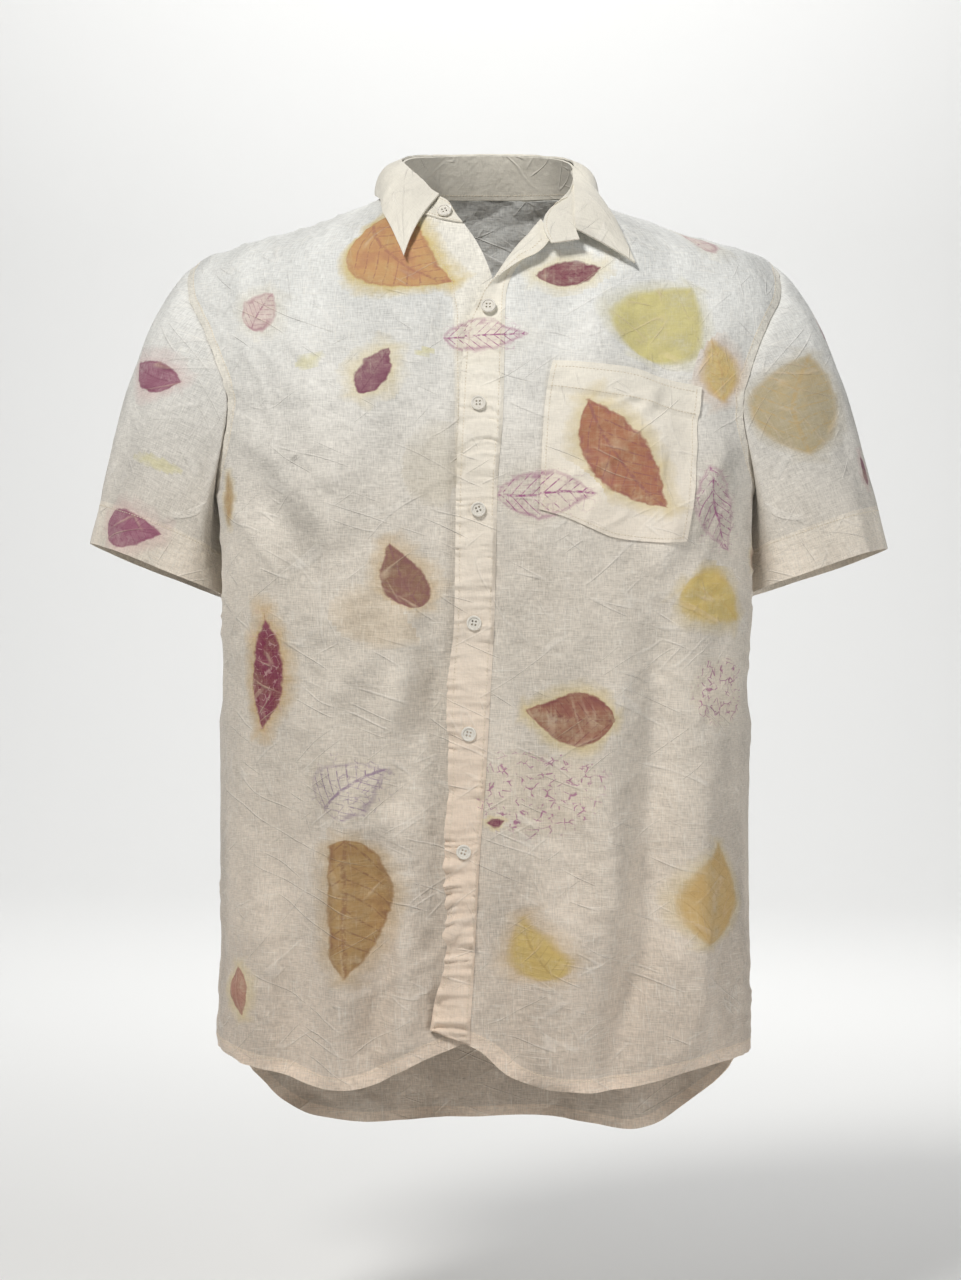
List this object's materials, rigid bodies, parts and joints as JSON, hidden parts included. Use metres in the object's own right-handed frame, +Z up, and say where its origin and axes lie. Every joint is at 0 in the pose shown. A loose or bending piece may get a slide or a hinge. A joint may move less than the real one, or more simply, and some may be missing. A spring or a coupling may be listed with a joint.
{
  "type": "short-sleeve shirt",
  "caption": "Thin linen shirt in the worn form, short sleeves, pointed collar open at the neck, buttoned placket, chest pocket and curved hem longer at the back",
  "frame": {"origin": "Between the shoulders at the base of the neck, at half the depth of the body, where the wearer's shoulders and neck hold the shirt up", "axes": "+Z up, +X to the wearer's left, +Y to the wearer's back, so the buttoned front faces -Y"},
  "size_m": [0.661, 0.2583, 0.8343],
  "materials": {
    "cloth": "thin undyed linen with soft leaf prints",
    "double_cloth": "two layers of the same linen, warmer and denser",
    "button": "translucent pearly resin"
  },
  "bodies": {
    "root": {"front_right": "cloth", "front_left": "cloth", "back": "cloth", "sleeve_right": "cloth", "sleeve_left": "cloth", "collar_stand": "double_cloth", "collar_leaf": "double_cloth", "placket": "double_cloth", "pocket": "double_cloth", "button_1": "button", "button_2": "button", "button_3": "button", "button_4": "button", "button_5": "button", "button_6": "button", "button_collar": "button"}
  },
  "joints": []
}
